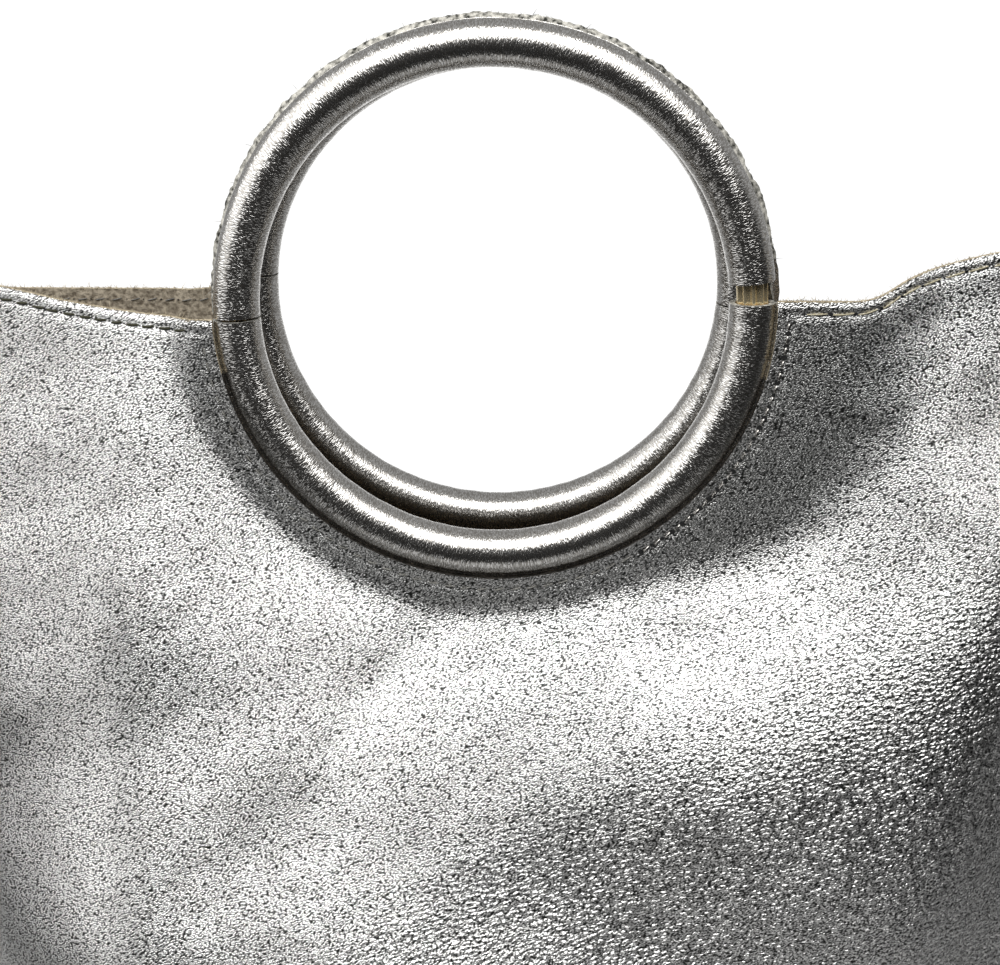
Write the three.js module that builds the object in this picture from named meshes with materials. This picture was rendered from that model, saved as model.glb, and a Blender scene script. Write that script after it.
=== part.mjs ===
// A soft silver leather handbag: two sewn leather panels and two ring handles in leather sleeves.
// Millimetres. X runs along the bag, Y from the front (negative) to the back, Z up from the base.

import * as THREE from 'three';

// Leather and fits
const PANEL_THICKNESS = 1.6;
const CLEAR_GAP = 0.3;

// Ring handles: a metal core inside leather sleeves
const RING_RADIUS = 61;
const CORE_RADIUS = 3.8;
const SLEEVE_WALL = 1.4;
const SLEEVE_INNER = CORE_RADIUS + CLEAR_GAP;
const SLEEVE_OUTER = SLEEVE_INNER + SLEEVE_WALL;

// The lower sleeve's two layers close into a flange that is sewn behind the panel's scoop.
// The flange starts low at each end of the sleeve and rises over the stated degrees.
// The upper sleeve's two layers close into a low fin on the side that faces the other ring.
const FLANGE_REACH = 9.6;
const FLANGE_HALF = 1.3;
const FLANGE_START = 6;
const FLANGE_RISE = 14;
const FIN_REACH = 7.6;
const FIN_HALF = 1.1;
const FIN_ANGLE = 38;

// Each panel is scooped out round its ring. Near the scoop it is held in the ring's plane, and beyond
// it falls outward in a slope that starts over the stated distances and blends into the body over the
// stated depths, beside and below the ring. A grid line of the panel runs along the held line, so that
// the flat leather covers the flange.
const SCOOP_RADIUS = 66.7;
const HELD_RADIUS = 71.2;
const HELD_LINE = 71;
const SLOPE_START = 10.5;
const SLOPE_START_RIGHT = 26;
const SLOPE_BELOW_RING = 0.46;
const SLOPE_LEFT_OF_RING = 0.85;
const SIDE_BLEND = 10;
const LOWER_BLEND = 26;
const PANEL_STANDOFF = FLANGE_HALF + CLEAR_GAP + PANEL_THICKNESS;

// Base: the panels turn under with this radius and meet in a seam a little behind the middle.
const BASE_ROUND = 8;
const BASE_SEAM_BACK = 10;
const BASE_TAPER = 0.12;

// Mesh density
const SIDE_COLUMNS = 7;
const SCOOP_COLUMNS = 18;
const SCOOP_ROWS = 9;
const WALL_ROWS = 9;
const ROUND_ROWS = 3;
const BASE_ROWS = 4;
const CORE_TURNS = 48;
const CORE_SIDES = 8;
const SLEEVE_TURNS = 20;
const SLEEVE_SIDES = 9;

// Rings: facing is -1 for the front; lean tips the top to the back; roll lifts the right side.
// Upper and lower are the angles each sleeve covers, from the right-hand side anticlockwise.
const RINGS = {
  front: {
    facing: -1, x: 0, y: -16, z: 254, lean: 2, roll: 2.2, upper: [3.8, 180.2], lower: [180.8, 359.1],
  },
  back: {
    facing: 1, x: 0, y: 16.4, z: 251.4, lean: -2.6, roll: -3.6, upper: [0.6, 179.4], lower: [179.9, 360.1],
  },
};

// Level cross-sections of the body, from the base up. Fullness squares the plan's ends.
const SECTIONS = [
  { height: 0, halfWidth: 128, frontDepth: 60, backDepth: 58, fullness: 5.0 },
  { height: 30, halfWidth: 139, frontDepth: 72, backDepth: 66, fullness: 4.2 },
  { height: 80, halfWidth: 149, frontDepth: 79, backDepth: 70, fullness: 3.4 },
  { height: 135, halfWidth: 154, frontDepth: 67, backDepth: 60, fullness: 2.9 },
  { height: 190, halfWidth: 157, frontDepth: 47, backDepth: 42, fullness: 2.5 },
  { height: 250, halfWidth: 159, frontDepth: 23, backDepth: 23, fullness: 2.0 },
  { height: 275, halfWidth: 160, frontDepth: 16, backDepth: 16, fullness: 2.0 },
];

// Height of each panel's cut top edge along the bag. The rows at the scoop lie on its circle.
const FRONT_EDGE = [
  { x: -160, height: 262 },
  { x: -118, height: 257 },
  { x: -103, height: 254.3 },
  { x: -84, height: 252 },
  { x: -66.6, height: 251 },
  { x: 66.6, height: 256 },
  { x: 86, height: 256.2 },
  { x: 91, height: 257.3 },
  { x: 98, height: 260.8 },
  { x: 106, height: 263.2 },
  { x: 120, height: 266.1 },
  { x: 160, height: 271 },
];
const BACK_EDGE = [
  { x: -160, height: 255 },
  { x: -117, height: 252.4 },
  { x: -66.6, height: 250.8 },
  { x: 66.6, height: 248 },
  { x: 117, height: 250 },
  { x: 160, height: 254 },
];

// Soft folds: centre, direction of the crease in degrees, reach along and across it, depth outward.
const FRONT_FOLDS = [
  { x: 88, z: 75, direction: -14, along: 80, across: 40, depth: -17 },
  { x: 135, z: 188, direction: 66, along: 46, across: 26, depth: 9 },
  { x: -98, z: 150, direction: 26, along: 42, across: 14, depth: -1.4 },
  { x: -6, z: 82, direction: 0, along: 42, across: 22, depth: 4 },
  { x: -84, z: 96, direction: 8, along: 46, across: 30, depth: 6 },
  { x: 48, z: 172, direction: 0, along: 14, across: 8, depth: -1 },
  { x: 74, z: 153, direction: 8, along: 46, across: 20, depth: 3 },
  { x: 50, z: 138, direction: 0, along: 22, across: 14, depth: 1.5 },
  { x: 96, z: 168, direction: 30, along: 26, across: 14, depth: 1 },
];
const BACK_FOLDS = [
  { x: -40, z: 130, direction: -12, along: 60, across: 28, depth: 5 },
  { x: 70, z: 165, direction: -28, along: 50, across: 12, depth: -3 },
  { x: -95, z: 200, direction: 60, along: 45, across: 15, depth: -4 },
  { x: 60, z: 110, direction: 15, along: 55, across: 20, depth: 3 },
];

// Held right is how much further than elsewhere the leather lies flat at the ring's right-hand side.
const PANELS = [
  {
    name: 'front_panel',
    ring: RINGS.front,
    depth: 'frontDepth',
    edge: FRONT_EDGE,
    folds: FRONT_FOLDS,
    heldRight: 12,
  },
  {
    name: 'back_panel',
    ring: RINGS.back,
    depth: 'backDepth',
    edge: BACK_EDGE,
    folds: BACK_FOLDS,
    heldRight: 4,
  },
];

const radians = THREE.MathUtils.degToRad;
const lerp = THREE.MathUtils.lerp;
const smoothstep = THREE.MathUtils.smoothstep;
const clamp = THREE.MathUtils.clamp;

// Smooth curve through the named column of a table
function curve(rows, across, column, at) {
  const last = rows.length - 1;
  const place = clamp(at, rows[0][across], rows[last][across]);
  let k = 0;
  while (k < last - 1 && place > rows[k + 1][across]) {
    k += 1;
  }
  const slope = (a, b) => (rows[b][column] - rows[a][column]) / (rows[b][across] - rows[a][across]);
  const tangent = (i) => slope(Math.max(i - 1, 0), Math.min(i + 1, last));
  const span = rows[k + 1][across] - rows[k][across];
  const t = (place - rows[k][across]) / span;
  const start = (1 + 2 * t) * (1 - t) ** 2 * rows[k][column] + t * (1 - t) ** 2 * span * tangent(k);
  const finish = t * t * (3 - 2 * t) * rows[k + 1][column] - t * t * (1 - t) * span * tangent(k + 1);
  return start + finish;
}

function section(height) {
  const read = (column) => curve(SECTIONS, 'height', column, height);
  return {
    halfWidth: read('halfWidth'),
    frontDepth: read('frontDepth'),
    backDepth: read('backDepth'),
    fullness: read('fullness'),
  };
}

// Sum of the folds at a point, fading out at the side seams and the base
function foldDepth(panel, x, z) {
  let sum = 0;
  for (const fold of panel.folds) {
    const turn = radians(fold.direction);
    const along = (x - fold.x) * Math.cos(turn) + (z - fold.z) * Math.sin(turn);
    const across = (z - fold.z) * Math.cos(turn) - (x - fold.x) * Math.sin(turn);
    sum += fold.depth * Math.exp(-((along / fold.along) ** 2) - (across / fold.across) ** 2);
  }
  const share = Math.abs(x) / section(z).halfWidth;
  return sum * (1 - smoothstep(share, 0.8, 1)) * smoothstep(z, BASE_ROUND, 50);
}

// Distance of the outer leather face from the bag's middle plane
function outerDepth(panel, x, z) {
  const plan = section(z);
  const share = Math.min(Math.abs(x) / plan.halfWidth, 1);
  const flat = CLEAR_GAP / 2 + PANEL_THICKNESS;
  const body = flat + (plan[panel.depth] - flat) * (1 - share ** plan.fullness);
  const ring = panel.ring;
  const ringPlane = ring.facing * (ring.y + (z - ring.z) * Math.tan(radians(ring.lean)));
  const held = ringPlane + PANEL_STANDOFF;
  const away = Math.hypot(x - ring.x, z - ring.z);
  const towardRight = (x - ring.x) / Math.max(away, 1);
  const downward = (ring.z - z) / Math.max(away, 1);
  const reach = HELD_RADIUS + panel.heldRight * smoothstep(towardRight, 0.5, 1.05);
  const past = Math.max(away - reach, 0);
  const start = lerp(SLOPE_START, SLOPE_START_RIGHT, smoothstep(towardRight, 0.3, 0.9));
  const run = past < start ? past ** 2 / (2 * start) : past - start / 2;
  const steepness = lerp(SLOPE_BELOW_RING, SLOPE_LEFT_OF_RING, smoothstep(-towardRight, 0.3, 0.9));
  const slope = held + steepness * run;
  const blend = lerp(SIDE_BLEND, LOWER_BLEND, smoothstep(downward, 0.2, 0.9));
  const nearer = clamp(0.5 + (body - slope) / (2 * blend), 0, 1);
  const rounding = blend * nearer * (1 - nearer);
  const free = lerp(body, slope, nearer) - rounding + foldDepth(panel, x, z);
  return lerp(held, free, smoothstep(past, 0, start));
}

// Inner face: the outer one moved in by the leather's thickness, stopped at the side seam
function innerDepth(panel, x, z) {
  const step = 0.5;
  const slopeX = (outerDepth(panel, x + step, z) - outerDepth(panel, x - step, z)) / (2 * step);
  const slopeZ = (outerDepth(panel, x, z + step) - outerDepth(panel, x, z - step)) / (2 * step);
  const reach = PANEL_THICKNESS * Math.hypot(1, slopeX, slopeZ);
  return Math.max(outerDepth(panel, x, z) - reach, CLEAR_GAP / 2);
}

// Evenly spaced values over a run of spans, each span with its own count
function spread(stops, counts) {
  const values = [stops[0]];
  counts.forEach((count, k) => {
    for (let i = 1; i <= count; i += 1) {
      values.push(lerp(stops[k], stops[k + 1], i / count));
    }
  });
  return values;
}

// Where the grid line at (across, down) lies on the wall, as x and height.
// Near the scoop the square grid is drawn round onto the scoop's circle.
function wallPlace(panel, across, down) {
  const ring = panel.ring;
  const topWidth = section(ring.z).halfWidth;
  const drop = ring.z - BASE_ROUND;
  const edge = curve(panel.edge, 'x', 'height', across * topWidth);
  const z = lerp(edge, BASE_ROUND, down / drop);
  const x = across * section(z).halfWidth;
  const sideways = (across * topWidth) / SCOOP_RADIUS;
  const downward = down / SCOOP_RADIUS;
  const reach = Math.max(Math.abs(sideways), downward);
  if (reach === 0) {
    return { x, z };
  }
  const share = Math.atan2(downward, -sideways) / Math.PI;
  const rise = (at) => Math.asin((curve(panel.edge, 'x', 'height', at) - ring.z) / SCOOP_RADIUS);
  const left = Math.PI - rise(-SCOOP_RADIUS);
  const right = 2 * Math.PI + rise(SCOOP_RADIUS);
  const turn = lerp(left, right, share);
  const beyond = (reach - 1) * SCOOP_RADIUS;
  const roundX = ring.x + SCOOP_RADIUS * Math.cos(turn) - beyond * Math.cos(share * Math.PI);
  const corner = curve(panel.edge, 'x', 'height', Math.sign(across) * SCOOP_RADIUS);
  const lift = Math.abs(sideways) > 1 ? (edge - corner) * Math.abs(Math.cos(share * Math.PI)) : 0;
  const roundZ = ring.z + SCOOP_RADIUS * Math.sin(turn) - beyond * Math.sin(share * Math.PI) + lift;
  const square = smoothstep(reach, 1, 1.9);
  return { x: lerp(roundX, x, square), z: lerp(roundZ, z, square) };
}

// One column of a panel from its top edge to the base seam: outer and inner points as [x, depth, z]
function panelColumn(panel, across, downs) {
  const outer = [];
  const inner = [];
  for (const down of downs) {
    const { x, z } = wallPlace(panel, across, down);
    outer.push([x, outerDepth(panel, x, z), z]);
    inner.push([x, innerDepth(panel, x, z), z]);
  }
  const [footX, footOuter] = outer[outer.length - 1];
  const footInner = inner[inner.length - 1][1];
  const roundDepth = (BASE_ROUND * footOuter) / (footOuter + BASE_ROUND);
  const underOuter = footOuter - roundDepth;
  const underInner = Math.min(underOuter, footInner);
  for (let k = 1; k <= ROUND_ROWS; k += 1) {
    const turn = (k / ROUND_ROWS) * (Math.PI / 2);
    const outerZ = BASE_ROUND * (1 - Math.sin(turn));
    const innerZ = BASE_ROUND - (BASE_ROUND - PANEL_THICKNESS) * Math.sin(turn);
    outer.push([footX, underOuter + roundDepth * Math.cos(turn), outerZ]);
    inner.push([footX, underInner + (footInner - underInner) * Math.cos(turn), innerZ]);
  }
  const seam = CLEAR_GAP / 2 + panel.ring.facing * BASE_SEAM_BACK * (1 - across ** 4);
  for (let k = 1; k <= BASE_ROWS; k += 1) {
    const share = k / BASE_ROWS;
    const x = footX * (1 - BASE_TAPER * share);
    outer.push([x, lerp(underOuter, seam, share), 0]);
    inner.push([x, lerp(underInner, seam, share), PANEL_THICKNESS]);
  }
  return { outer, inner };
}

// Closed geometry from points and triangles, turned so that its faces point outward
function closedGeometry(points, triangles) {
  const corner = (i) => new THREE.Vector3(...points[i]);
  let volume = 0;
  for (const [a, b, c] of triangles) {
    volume += corner(a).dot(corner(b).cross(corner(c)));
  }
  const facing = volume < 0 ? triangles.map(([a, b, c]) => [a, c, b]) : triangles;
  const geometry = new THREE.BufferGeometry();
  geometry.setAttribute('position', new THREE.Float32BufferAttribute(points.flat(), 3));
  geometry.setIndex(facing.flat());
  geometry.computeVertexNormals();
  return geometry;
}

function panelGeometry(panel) {
  const ring = panel.ring;
  const topWidth = section(ring.z).halfWidth;
  const scoop = SCOOP_RADIUS / topWidth;
  const held = HELD_LINE / topWidth;
  const counts = [SIDE_COLUMNS, 1, SCOOP_COLUMNS, 1, SIDE_COLUMNS];
  const acrosses = spread([-1, -held, -scoop, scoop, held, 1], counts);
  const downs = spread([0, SCOOP_RADIUS, HELD_LINE, ring.z - BASE_ROUND], [SCOOP_ROWS, 1, WALL_ROWS]);
  const columns = acrosses.map((across) => panelColumn(panel, across, downs));
  const rows = columns[0].outer.length;
  const place = ([x, depth, z]) => [x, ring.facing * depth, z];
  const points = columns.flatMap((column) => [...column.outer.map(place), ...column.inner.map(place)]);
  const outerAt = (i, j) => i * 2 * rows + j;
  const innerAt = (i, j) => outerAt(i, j) + rows;
  const scoopStart = SIDE_COLUMNS + 1;
  const inScoop = (i, j) => i >= scoopStart && i < scoopStart + SCOOP_COLUMNS && j < SCOOP_ROWS;
  const cells = [];
  for (let i = 0; i < columns.length - 1; i += 1) {
    for (let j = 0; j < rows - 1; j += 1) {
      if (!inScoop(i, j)) {
        cells.push([[i, j], [i + 1, j], [i + 1, j + 1], [i, j + 1]]);
      }
    }
  }
  const triangles = [];
  const addQuad = (a, b, c, d) => triangles.push([a, b, c], [a, c, d]);
  const key = (from, to) => `${from.join()} ${to.join()}`;
  const sides = new Set();
  for (const cell of cells) {
    addQuad(...cell.map(([i, j]) => outerAt(i, j)));
    addQuad(...cell.map(([i, j]) => innerAt(i, j)).reverse());
    cell.forEach((from, k) => sides.add(key(from, cell[(k + 1) % 4])));
  }
  for (const cell of cells) {
    cell.forEach((from, k) => {
      const to = cell[(k + 1) % 4];
      if (!sides.has(key(to, from))) {
        addQuad(outerAt(...to), outerAt(...from), innerAt(...from), innerAt(...to));
      }
    });
  }
  return closedGeometry(points, triangles);
}

// Position of a ring: its own plane is X and Z
function ringPlacement(ring) {
  const place = new THREE.Matrix4().makeTranslation(ring.x, ring.y, ring.z);
  place.multiply(new THREE.Matrix4().makeRotationX(-radians(ring.lean)));
  place.multiply(new THREE.Matrix4().makeRotationY(-radians(ring.roll)));
  return place;
}

function coreGeometry(ring) {
  const geometry = new THREE.TorusGeometry(RING_RADIUS, CORE_RADIUS, CORE_SIDES, CORE_TURNS);
  geometry.rotateX(Math.PI / 2);
  return geometry.applyMatrix4(ringPlacement(ring));
}

// Section of a sleeve as [outward, sideways] points: a tube whose two layers close into a fin
function sleeveSection(finAngle, finReach, finHalf) {
  const polar = (radius, angle) => [radius * Math.cos(angle), radius * Math.sin(angle)];
  const middle = radians(finAngle);
  const root = Math.asin(finHalf / SLEEVE_OUTER);
  const sweep = 2 * (Math.PI - root);
  const bore = SLEEVE_INNER / Math.cos(sweep / SLEEVE_SIDES / 2);
  const outer = [];
  const inner = [];
  for (let k = 0; k <= SLEEVE_SIDES; k += 1) {
    const angle = middle + root + (sweep * k) / SLEEVE_SIDES;
    outer.push(polar(SLEEVE_OUTER, angle));
    inner.push(polar(bore, angle));
  }
  const tip = Math.atan2(finHalf, finReach);
  outer.push(polar(Math.hypot(finReach, finHalf), middle - tip));
  outer.push(polar(Math.hypot(finReach, finHalf), middle + tip));
  inner.push(polar(bore, middle - root / 3));
  inner.push(polar(bore, middle + root / 3));
  return { outer, inner };
}

// A sleeve swept along its ring; fin gives the fin's angle, half thickness and reach at each end and middle
function sleeveGeometry(ring, angles, fin) {
  const placement = ringPlacement(ring);
  const points = [];
  let count = 0;
  for (let turn = 0; turn <= SLEEVE_TURNS; turn += 1) {
    const degrees = lerp(angles[0], angles[1], turn / SLEEVE_TURNS);
    const fromEnd = Math.min(degrees - angles[0], angles[1] - degrees);
    const finReach = lerp(fin.endReach, fin.reach, smoothstep(fromEnd, 0, FLANGE_RISE));
    const { outer, inner } = sleeveSection(fin.angle, finReach, fin.half);
    count = outer.length;
    for (const [outward, sideways] of [...outer, ...inner]) {
      const reach = RING_RADIUS + outward;
      const angle = radians(degrees);
      const point = new THREE.Vector3(reach * Math.cos(angle), sideways, reach * Math.sin(angle));
      points.push(point.applyMatrix4(placement).toArray());
    }
  }
  const triangles = [];
  const addQuad = (a, b, c, d) => triangles.push([a, b, c], [a, c, d]);
  const at = (turn, k) => turn * 2 * count + (k % count);
  for (let k = 0; k < count; k += 1) {
    for (let turn = 0; turn < SLEEVE_TURNS; turn += 1) {
      addQuad(at(turn, k), at(turn, k + 1), at(turn + 1, k + 1), at(turn + 1, k));
      const [a, b] = [at(turn, k) + count, at(turn, k + 1) + count];
      addQuad(b, a, a + 2 * count, b + 2 * count);
    }
    addQuad(at(0, k + 1), at(0, k), at(0, k) + count, at(0, k + 1) + count);
    const [c, d] = [at(SLEEVE_TURNS, k), at(SLEEVE_TURNS, k + 1)];
    addQuad(c, d, d + count, c + count);
  }
  return closedGeometry(points, triangles);
}

const leather = new THREE.MeshStandardMaterial({ color: 0xb9b9bb, roughness: 0.42, metalness: 0.75 });
const gold = new THREE.MeshStandardMaterial({ color: 0xc9a45c, roughness: 0.18, metalness: 1 });

const bag = new THREE.Group();
bag.name = 'handbag';

function add(name, geometry, material) {
  const mesh = new THREE.Mesh(geometry, material);
  mesh.name = name;
  bag.add(mesh);
}

for (const panel of PANELS) {
  add(panel.name, panelGeometry(panel), leather);
}
for (const [side, ring] of Object.entries(RINGS)) {
  const fin = { angle: -ring.facing * FIN_ANGLE, half: FIN_HALF, endReach: FIN_REACH, reach: FIN_REACH };
  const flange = { angle: 0, half: FLANGE_HALF, endReach: FLANGE_START, reach: FLANGE_REACH };
  add(`${side}_ring_core`, coreGeometry(ring), gold);
  add(`${side}_upper_sleeve`, sleeveGeometry(ring, ring.upper, fin), leather);
  add(`${side}_lower_sleeve`, sleeveGeometry(ring, ring.lower, flange), leather);
}

export default bag;
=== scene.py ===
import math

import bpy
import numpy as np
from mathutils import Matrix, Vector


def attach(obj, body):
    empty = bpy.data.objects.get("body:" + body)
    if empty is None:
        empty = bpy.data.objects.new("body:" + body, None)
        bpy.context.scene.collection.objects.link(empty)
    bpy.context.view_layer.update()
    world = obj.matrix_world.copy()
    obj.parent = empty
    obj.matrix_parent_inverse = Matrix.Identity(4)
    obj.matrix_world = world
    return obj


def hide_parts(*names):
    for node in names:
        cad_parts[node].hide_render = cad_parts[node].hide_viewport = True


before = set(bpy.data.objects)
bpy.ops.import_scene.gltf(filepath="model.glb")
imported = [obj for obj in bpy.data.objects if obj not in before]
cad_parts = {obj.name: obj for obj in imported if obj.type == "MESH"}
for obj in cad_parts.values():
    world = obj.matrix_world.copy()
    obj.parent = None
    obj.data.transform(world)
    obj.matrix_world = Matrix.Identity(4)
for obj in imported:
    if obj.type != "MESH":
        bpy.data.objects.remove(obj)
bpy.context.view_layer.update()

# Looks of a soft silver leather handbag with ring handles: foil leather with a fine crinkled grain, raw
# cut edges, suede inside, sewn seams and a gold-coloured ring core. Sizes are in millimetres, and in metres
# where a comment says so.

# Millimetres in a metre
METRE = 1000

# Leather and fits
PANEL_THICKNESS = 1.6
CLEAR_GAP = 0.3

# Ring handles: a metal core inside leather sleeves
RING_RADIUS = 61
CORE_RADIUS = 3.8
SLEEVE_INNER = 4.1
SLEEVE_OUTER = 5.5
FLANGE_REACH = 9.6
FLANGE_HALF = 1.3
FLANGE_START = 6
FLANGE_RISE = 14
FIN_REACH = 7.6
FIN_HALF = 1.1
FIN_ANGLE = 38

# Scoop of a panel round its ring. The leather is held in the ring's plane, then falls away in a slope.
SCOOP_RADIUS = 66.7
HELD_RADIUS = 71.2
SLOPE_START = 8.5
SLOPE_START_RIGHT = 26
SLOPE_BELOW_RING = 0.46
SLOPE_LEFT_OF_RING = 0.85
SIDE_BLEND = 10
LOWER_BLEND = 26
PANEL_STANDOFF = FLANGE_HALF + CLEAR_GAP + PANEL_THICKNESS

# Where round the ring a change of the slope starts and is full, as the sine or cosine of a direction
HELD_RIGHT_TURN = (0.5, 1.05)
SIDE_TURN = (0.3, 0.9)
BELOW_TURN = (0.2, 0.9)

# Base of the bag: a rounded foot, and a narrower seam that bows to the back in a curve of this power
BASE_ROUND = 8
BASE_SEAM_BACK = 10
BASE_SEAM_POWER = 4
BASE_TAPER = 0.12

# Seams: distance from the cut edge, the band of leather that they run in, the groove that they pull, and how
# the leather rolls back at the edge. A groove is deeper at each stitch and shallower round the scoop.
SEAM_INSET = 2.8
SEAM_BAND = 6
GROOVE_DEPTH = 0.38
GROOVE_REACH = 1.1
GROOVE_MEAN = 0.6
GROOVE_SWING = 0.4
SCOOP_GROOVE_SHARE = 0.7
SCOOP_GROOVE_FADE = 5
EDGE_ROLL = 0.4
EDGE_ROLL_REACH = 1

# Rows of stitches: spacing, length of a stitch, and radii of the thread and of the needle holes' painted
# shade
TOP_LEFT_SEAM = dict(pitch=4, length=2.7, thread=0.34, hole=0.3)
TOP_RIGHT_SEAM = dict(pitch=6, length=5.2, thread=0.18, hole=0.5)
INSIDE_SEAM = dict(pitch=4.4, length=2.4, thread=0.16, hole=0.25)
SCOOP_SEAM = dict(pitch=4, length=2.6, thread=0.16, hole=0.25)
SCOOP_RIGHT_SEAM = dict(pitch=3, length=1.6, thread=0.3, hole=0.65)

# Ends of the rows: x beside the ring for the top edge. Round the scoop, the angle in degrees at which the
# right-hand row takes over, and a margin in radians at the scoop's corners.
TOP_SEAM_START = 70
TOP_SEAM_END = 152
SCOOP_RIGHT_START = 300
SCOOP_SEAM_MARGIN = 0.05

# How deep the rows lie in the leather, and the steps of the lines that they follow
TOP_SEAM_SINK = 0.2
SCOOP_SEAM_SINK = 0.15
TOP_SEAM_STEPS = 240
SCOOP_SEAM_STEPS = 300

# One stitch from end to end: place as a share of its length, rise, and thickness as a share of the thread's
STITCH_PLACES = np.array([-0.5, -0.4, -0.2, 0, 0.2, 0.4, 0.5])
STITCH_RISES = np.array([-0.15, 0.05, 0.2, 0.25, 0.2, 0.05, -0.15])
STITCH_TAPER = np.array([0.6, 0.9, 1, 1, 1, 0.9, 0.6])
STITCH_SHIFT = 0.25
STITCH_LEAN = (0.2, 0.7)
THREAD_SIDES = 8

# Painted shade of the needle holes as dark discs: sides, smallest and largest as shares of the row's radius,
# flatness and rise
HOLE_SIDES = 10
HOLE_SIZES = (0.7, 1.2)
HOLE_FLATNESS = 0.8
HOLE_RISE = 0.1

# Loose fibres on the raw edges: length, its smallest share and the shape and scale of the draw added to it;
# thickness from root to tip; spread and curl
FIBRE_LENGTH = 0.45
FIBRE_SHORTEST = 0.3
FIBRE_VARIETY = (1.2, 0.6)
FIBRE_RADIUS = 0.09
FIBRE_TAPER = np.array([1, 0.9, 0.7, 0.5, 0.25])
FIBRE_SIDES = 3
FIBRE_SPREAD = 0.55
FIBRE_CURL = 0.45

# Fibres of a top edge and of a fin: how many, how deep their roots are, and where the top edge's ones stand
EDGE_FIBRES = 1600
EDGE_FIBRE_ROOT = 0.15
EDGE_FIBRE_START = SCOOP_RADIUS + 0.5
EDGE_FIBRE_END = 157
FIN_FIBRES = 900
FIN_FIBRE_ROOT = 0.3

# How far down the scoop its cut edge stays tan above the painted shadow, and how far the mesh may miss the
# scoop's circle
TAN_RIM_DROP = 16
SCOOP_TOLERANCE = 0.2

# Ribs along the metal core, and its mesh density round the ring and round the tube
CORE_RIBS = 10
RIB_DEPTH = 0.8
CORE_TURNS = 240
CORE_SIDES = 112

# Mesh density of a sleeve round the ring and round the tube, and the sections of its fin from the tube to
# the edge, whose two layers part by a groove
SLEEVE_TURNS = 420
SLEEVE_SIDES = 60
FIN_STEPS = np.array([0.35, 0.7, 1.0])
FIN_SIDES = np.array([-1, -1, -1, 0, 1, 1, 1])
FIN_GROOVE = 0.5

# How far an upper sleeve's fin runs on past its right-hand end, in degrees
FIN_RUN_ON = 6

# Unevenness of a sleeve: distance between waves and their height, for a fin's edge, for its second layer and
# for the wrinkles, which are drawn out across the ring and fade beside the fin
FIN_WAVES = [(11, 0.25), (2.4, 0.12)]
LAYER_WAVE = (4, 0.35)
WRINKLE_WAVE = (7, 0.03)
WRINKLE_STRETCH = 4
WRINKLE_FADE = 0.5

# Width of a sleeve's leather round the tube, and with its fin
WRAP_TUBE = 34
WRAP_WITH_FIN = 40

# Soft unevenness of the panels: distance between waves and their height. The waves start a little away from
# the scoop and the top edge, and are full further off. They fade towards the side seams and the base.
WAVES = [(34, 0.15), (13, 0.05)]
WAVE_START = 4
WAVE_FULL_FROM_SCOOP = 30
WAVE_FULL_FROM_EDGE = 20
WAVE_FADE_SIDE = 0.85
WAVE_FADE_HEIGHT = 30

# Seeds of the random draws. The seams' and fibres' ones go up by 1 for the back.
WAVE_SEED = 40
SLEEVE_SEEDS = {"front": dict(upper=11, lower=14), "back": dict(upper=18, lower=21)}
OUTER_LEFT_SEED = 60
INNER_SEED = 65
OUTER_RIGHT_SEED = 70
SCOOP_SEED = 80
SCOOP_RIGHT_SEED = 85
EDGE_FIBRE_SEED = 90
FIN_FIBRE_SEED = 95

# Rings: facing is -1 for the front; lean tips the top to the back; roll lifts the right side.
# Upper and lower are the angles that each sleeve covers, from the right-hand side anticlockwise.
RINGS = {
    "front": dict(facing=-1, x=0, y=-16, z=254, lean=2, roll=2.2,
                  upper=(3.8, 180.2), lower=(180.8, 359.1)),
    "back": dict(facing=1, x=0, y=16.4, z=251.4, lean=-2.6, roll=-3.6,
                 upper=(0.6, 179.4), lower=(179.9, 360.1)),
}

# Level cross-sections of the body, from the base up
SECTION_COLUMNS = ("height", "half_width", "front_depth", "back_depth", "fullness")
SECTIONS = [
    (0, 128, 60, 58, 5.0),
    (30, 139, 72, 66, 4.2),
    (80, 149, 79, 70, 3.4),
    (135, 154, 67, 60, 2.9),
    (190, 157, 47, 42, 2.5),
    (250, 159, 23, 23, 2.0),
    (275, 160, 16, 16, 2.0),
]

# Height of each panel's cut top edge along the bag: x, height
FRONT_EDGE = [
    (-160, 262),
    (-118, 257),
    (-103, 254.3),
    (-84, 252),
    (-66.6, 251),
    (66.6, 256),
    (86, 256.2),
    (91, 257.3),
    (98, 260.8),
    (106, 263.2),
    (120, 266.1),
    (160, 271),
]
BACK_EDGE = [(-160, 255), (-117, 252.4), (-66.6, 250.8), (66.6, 248), (117, 250), (160, 254)]

# Soft folds: centre x and z, direction of the crease in degrees, reach along and across it, depth outward
FRONT_FOLDS = [
    (88, 75, -14, 80, 40, -17),
    (135, 188, 66, 46, 26, 9),
    (-98, 150, 26, 42, 14, -1.4),
    (-6, 82, 0, 42, 22, 4),
    (-84, 96, 8, 46, 30, 6),
    (48, 172, 0, 14, 8, -1),
    (74, 153, 8, 46, 20, 3),
    (50, 138, 0, 22, 14, 1.5),
    (96, 168, 30, 26, 14, 1),
]

# Shallow folds of the front panel that the solids don't have, in the same columns
SHALLOW_FRONT_FOLDS = [
    (-22, 168, 45, 16, 7, -1.1),
    (34, 98, -5, 36, 18, -2.5),
    (-128, 190, 85, 70, 22, 2),
]

BACK_FOLDS = [
    (-40, 130, -12, 60, 28, 5),
    (70, 165, -28, 50, 12, -3),
    (-95, 200, 60, 45, 15, -4),
    (60, 110, 15, 55, 20, 3),
]

# Folds fade out from this share of the half width to the side seam, and below this height to the base
FOLD_FADE_SIDE = 0.8
FOLD_FADE_HEIGHT = 50

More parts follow.
